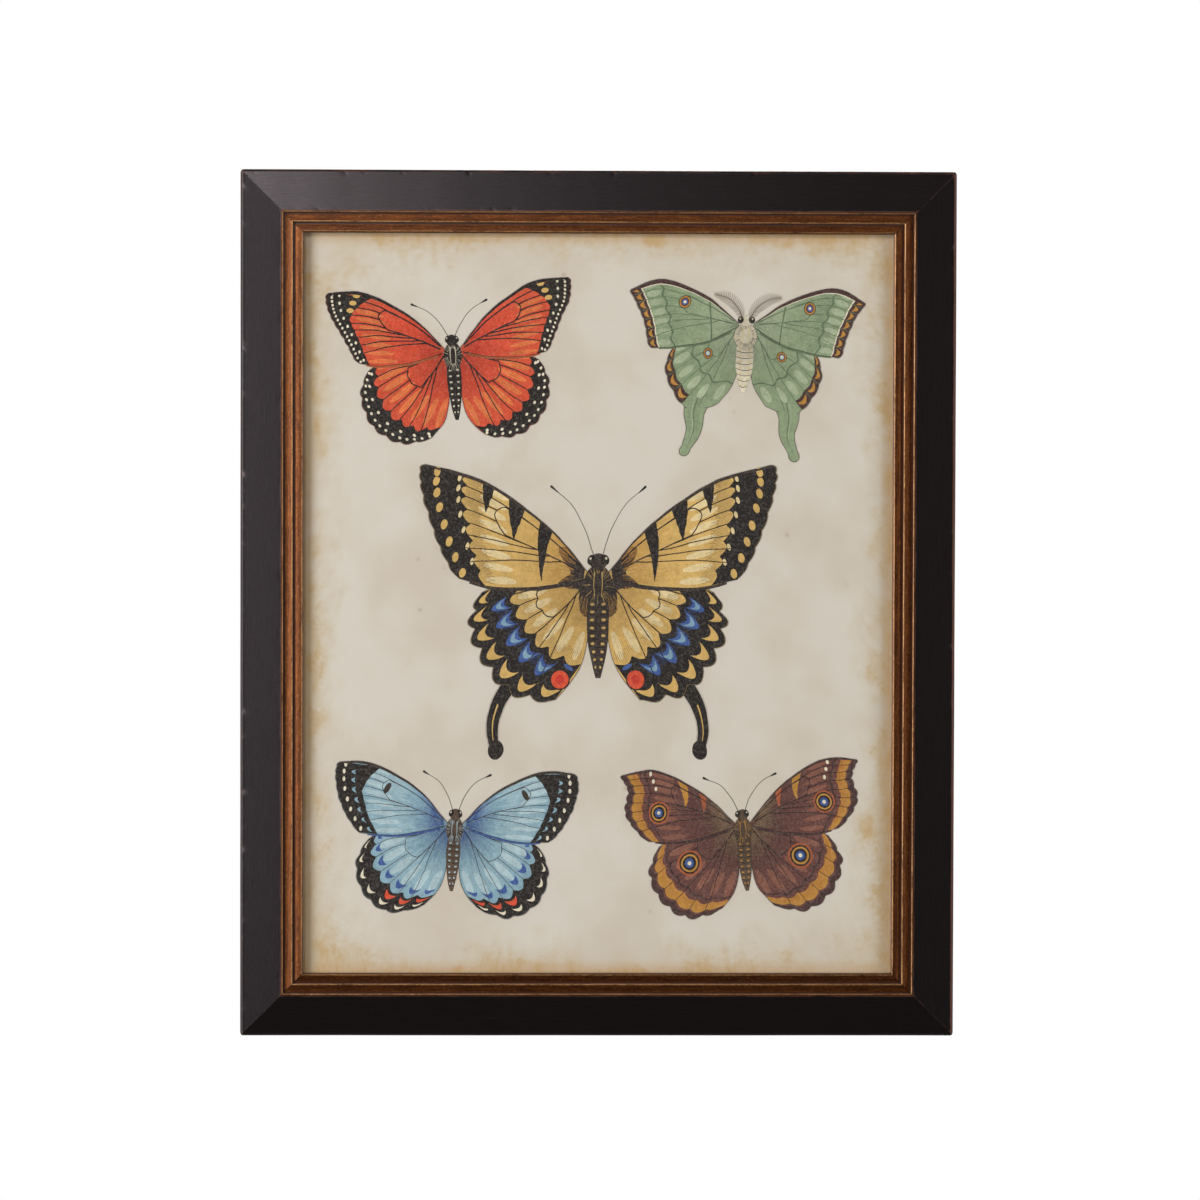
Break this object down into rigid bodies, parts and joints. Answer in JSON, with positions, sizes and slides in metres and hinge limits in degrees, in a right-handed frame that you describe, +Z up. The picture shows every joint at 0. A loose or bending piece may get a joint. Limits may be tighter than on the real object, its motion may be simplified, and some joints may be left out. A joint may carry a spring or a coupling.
{
  "type": "framed butterfly print",
  "caption": "Upright picture frame with a sloped black face and stepped bronze inner edge, holding a glazed print of coloured butterflies and moths, hung on a wall by a sawtooth hanger.",
  "frame": {"origin": "point on the wall plane, centred left to right, at the height of the roof of the hanger's middle notch, where the wall nail bears", "axes": "+Z up, the picture faces -Y, +Y into the wall, +X to the right as seen from the front"},
  "size_m": [0.4822, 0.0228, 0.5838],
  "materials": {
    "moulding": "black paint with worn edges, bronze gilt on the inner steps",
    "glass": "clear, polished",
    "print_paper": "matt aged paper with printed insects",
    "hardboard": "raw hardboard",
    "steel": "bright steel sheet",
    "brassed_steel": "brass-plated steel sheet",
    "rubber": "matt black rubber"
  },
  "bodies": {
    "root": {"rail_bottom": "moulding", "rail_left": "moulding", "rail_top": "moulding", "rail_right": "moulding", "glass": "glass", "print": "print_paper", "backing_board": "hardboard", "point_bottom_1": "steel", "point_bottom_2": "steel", "point_left_1": "steel", "point_left_2": "steel", "point_left_3": "steel", "point_top_1": "steel", "point_top_2": "steel", "point_right_1": "steel", "point_right_2": "steel", "point_right_3": "steel", "v_nail_bottom_left_outer": "steel", "v_nail_bottom_left_inner": "steel", "v_nail_bottom_right_outer": "steel", "v_nail_bottom_right_inner": "steel", "v_nail_top_left_outer": "steel", "v_nail_top_left_inner": "steel", "v_nail_top_right_outer": "steel", "v_nail_top_right_inner": "steel", "hanger": "brassed_steel", "hanger_nail_left": "brassed_steel", "hanger_nail_right": "brassed_steel", "bumper_left": "rubber", "bumper_right": "rubber"}
  },
  "joints": []
}
